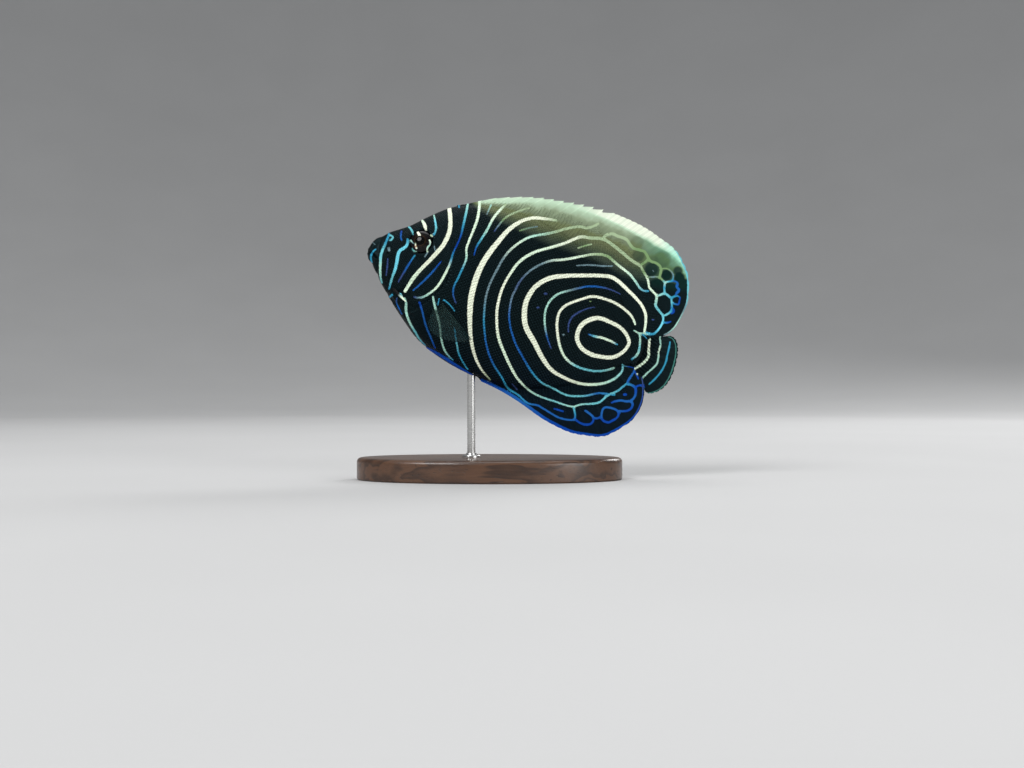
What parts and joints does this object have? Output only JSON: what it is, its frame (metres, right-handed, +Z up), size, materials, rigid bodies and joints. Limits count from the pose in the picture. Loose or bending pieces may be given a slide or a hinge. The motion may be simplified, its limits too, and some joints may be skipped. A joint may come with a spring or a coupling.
{
  "type": "emperor angelfish display model",
  "caption": "Young emperor angelfish with ringed markings, a still life-size model held nose up by one rod on an oval wooden base.",
  "frame": {"origin": "middle of the oval base's underside", "axes": "+Z up; the fish faces -X, with its nose tilted up by 20.6 degrees and its left side to -Y"},
  "size_m": [0.1206, 0.052, 0.1023],
  "materials": {
    "fish_skin": "scaled skin, blue-black with white and blue rings, satin",
    "fin_web": "rayed fin web, blue-black with pale margin, satin",
    "clear_fin": "clear rayed fin web, slightly smoky",
    "eye": "dark wet eye with a broken pale ring",
    "base_wood": "dark oiled wood",
    "rod_steel": "fine brushed steel"
  },
  "bodies": {
    "root": {"head": "fish_skin", "lower_jaw": "fish_skin", "gill_cover_left": "fish_skin", "gill_cover_right": "fish_skin", "trunk": "fish_skin", "tail_stem": "fish_skin", "eye_left": "eye", "eye_right": "eye", "dorsal_fin_spiny": "fin_web", "dorsal_fin_soft": "fin_web", "anal_fin": "fin_web", "caudal_fin": "fin_web", "pelvic_fin_left": "fin_web", "pelvic_fin_right": "fin_web", "pectoral_fin_left": "clear_fin", "pectoral_fin_right": "clear_fin", "stand_base": "base_wood", "stand_rod": "rod_steel"}
  },
  "joints": []
}
